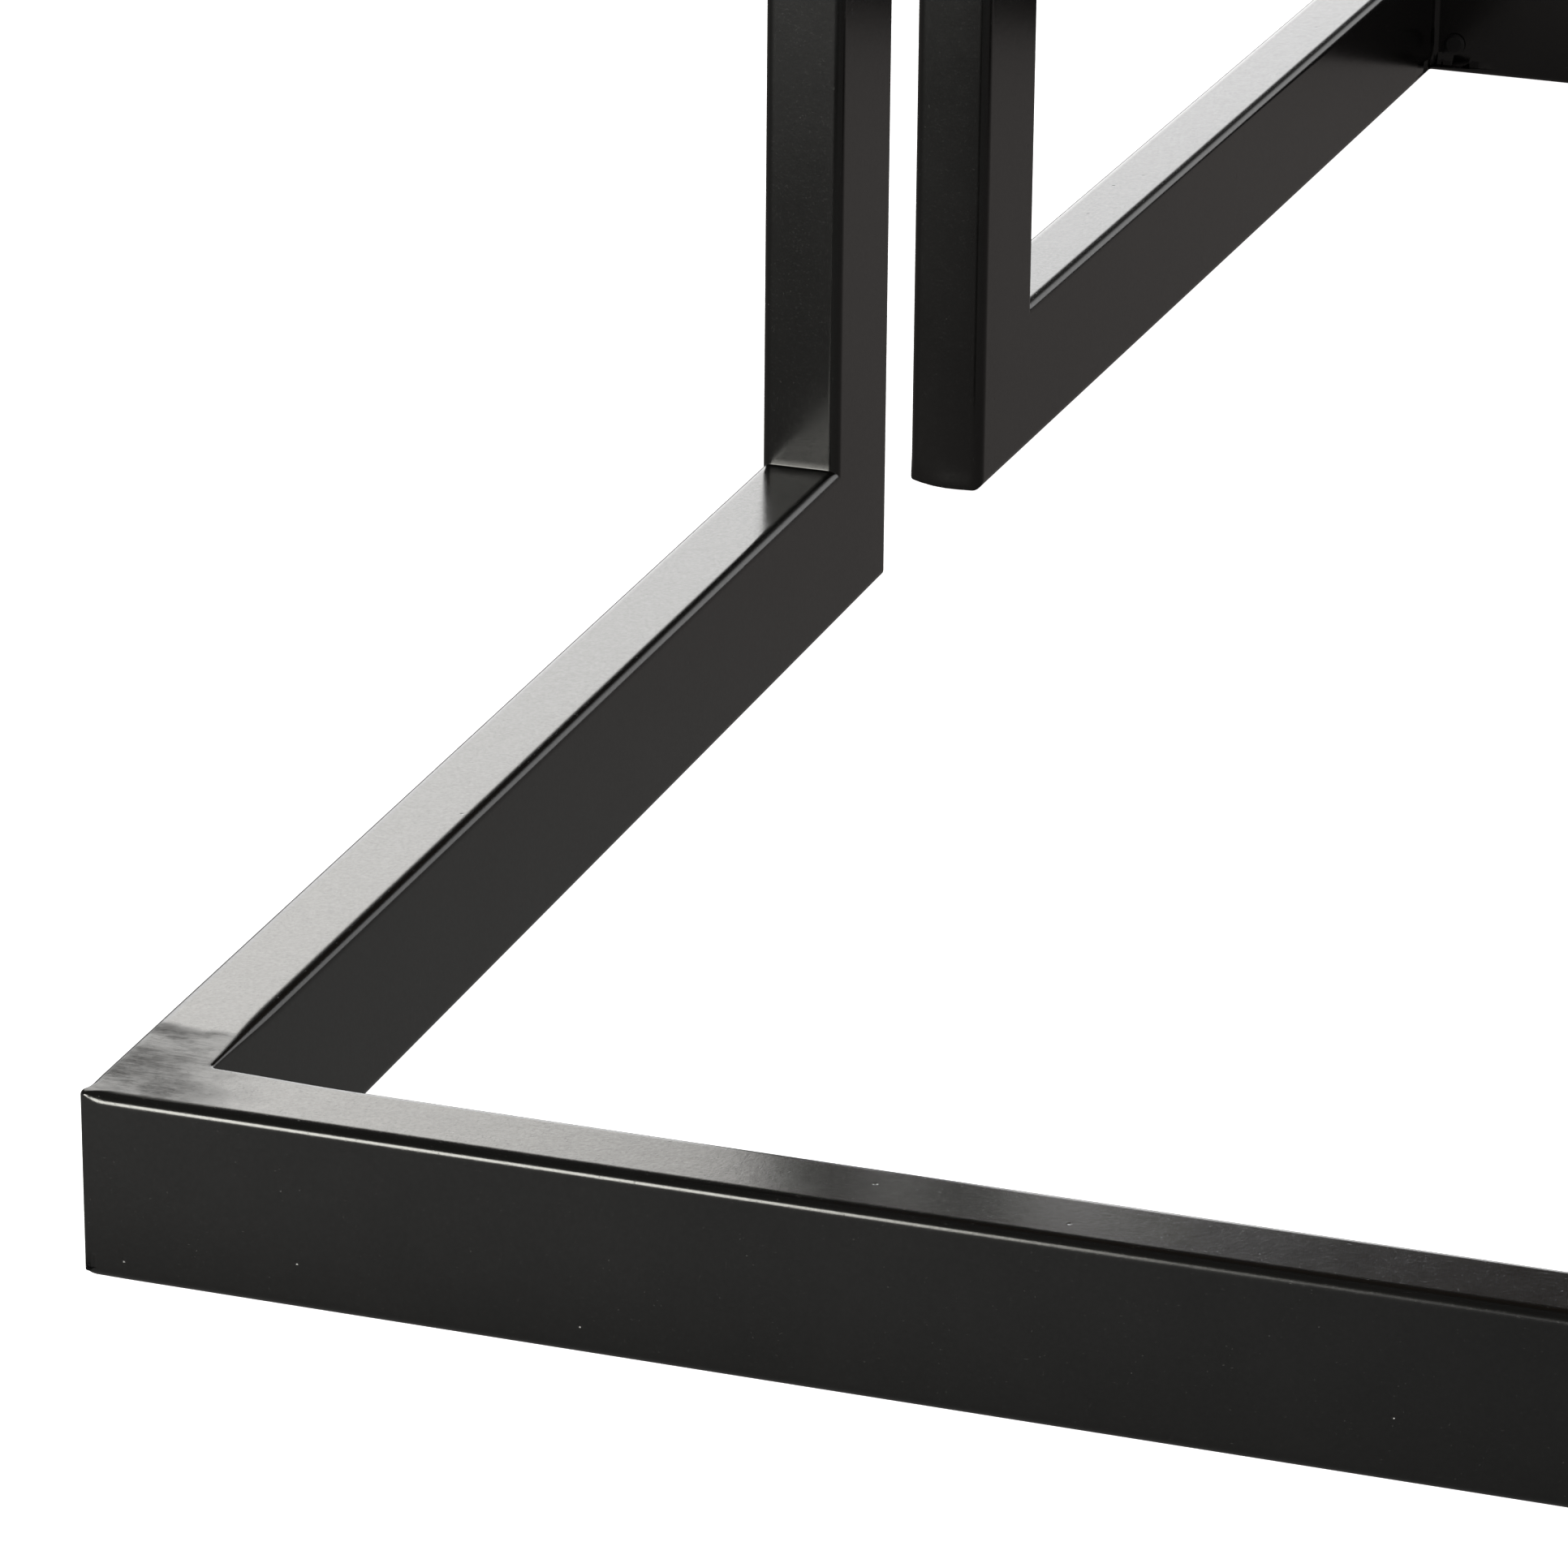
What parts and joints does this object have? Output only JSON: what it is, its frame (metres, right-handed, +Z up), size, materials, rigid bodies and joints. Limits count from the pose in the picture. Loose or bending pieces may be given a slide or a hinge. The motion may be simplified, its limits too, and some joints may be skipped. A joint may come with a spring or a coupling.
{
  "type": "nesting tables",
  "caption": "Large and small C-shaped side tables with black welded tube frames and wooden tops; the small one slides in under the large one.",
  "frame": {"origin": "on the floor, at the middle of the common outline of both tables with the small one pulled out behind the large one", "axes": "+X to the right along the large table's floor cross rail, +Y from the large table's open front to the small table behind it, +Z up"},
  "size_m": [0.65, 0.9864, 0.5],
  "materials": {
    "black_lacquer": "black semi-gloss lacquer on steel tube",
    "oiled_wood": "oiled solid wood, satin",
    "zinc_plate": "bright zinc plate",
    "black_plastic": "moulded black plastic, matte"
  },
  "bodies": {
    "large_table": {"large_floor_cross_rail": "black_lacquer", "large_floor_side_rail_left": "black_lacquer", "large_floor_side_rail_right": "black_lacquer", "large_upright_left": "black_lacquer", "large_upright_right": "black_lacquer", "large_top_side_rail_left": "black_lacquer", "large_top_side_rail_right": "black_lacquer", "large_top_cross_rail_end": "black_lacquer", "large_top_cross_rail_upright": "black_lacquer", "large_table_top": "oiled_wood", "large_fixing_tab_1": "black_lacquer", "large_fixing_tab_2": "black_lacquer", "large_fixing_tab_3": "black_lacquer", "large_fixing_tab_4": "black_lacquer", "large_top_screw_1": "zinc_plate", "large_top_screw_2": "zinc_plate", "large_top_screw_3": "zinc_plate", "large_top_screw_4": "zinc_plate", "large_floor_glide_1": "black_plastic", "large_floor_glide_2": "black_plastic", "large_floor_glide_3": "black_plastic", "large_floor_glide_4": "black_plastic", "large_vent_plug_left": "black_plastic", "large_vent_plug_right": "black_plastic"},
    "small_table": {"small_floor_cross_rail": "black_lacquer", "small_floor_side_rail_left": "black_lacquer", "small_floor_side_rail_right": "black_lacquer", "small_upright_left": "black_lacquer", "small_upright_right": "black_lacquer", "small_top_side_rail_left": "black_lacquer", "small_top_side_rail_right": "black_lacquer", "small_top_cross_rail_end": "black_lacquer", "small_top_cross_rail_upright": "black_lacquer", "small_table_top": "oiled_wood", "small_fixing_tab_1": "black_lacquer", "small_fixing_tab_2": "black_lacquer", "small_fixing_tab_3": "black_lacquer", "small_fixing_tab_4": "black_lacquer", "small_top_screw_1": "zinc_plate", "small_top_screw_2": "zinc_plate", "small_top_screw_3": "zinc_plate", "small_top_screw_4": "zinc_plate", "small_floor_glide_1": "black_plastic", "small_floor_glide_2": "black_plastic", "small_floor_glide_3": "black_plastic", "small_floor_glide_4": "black_plastic", "small_vent_plug_left": "black_plastic", "small_vent_plug_right": "black_plastic"}
  },
  "joints": [
    {"name": "small_table_slide", "type": "slide", "parent": "large_table", "child": "small_table", "axis": [-0.2453, 0.9694, 0], "range_m": [-0.5, 0.1]}
  ]
}
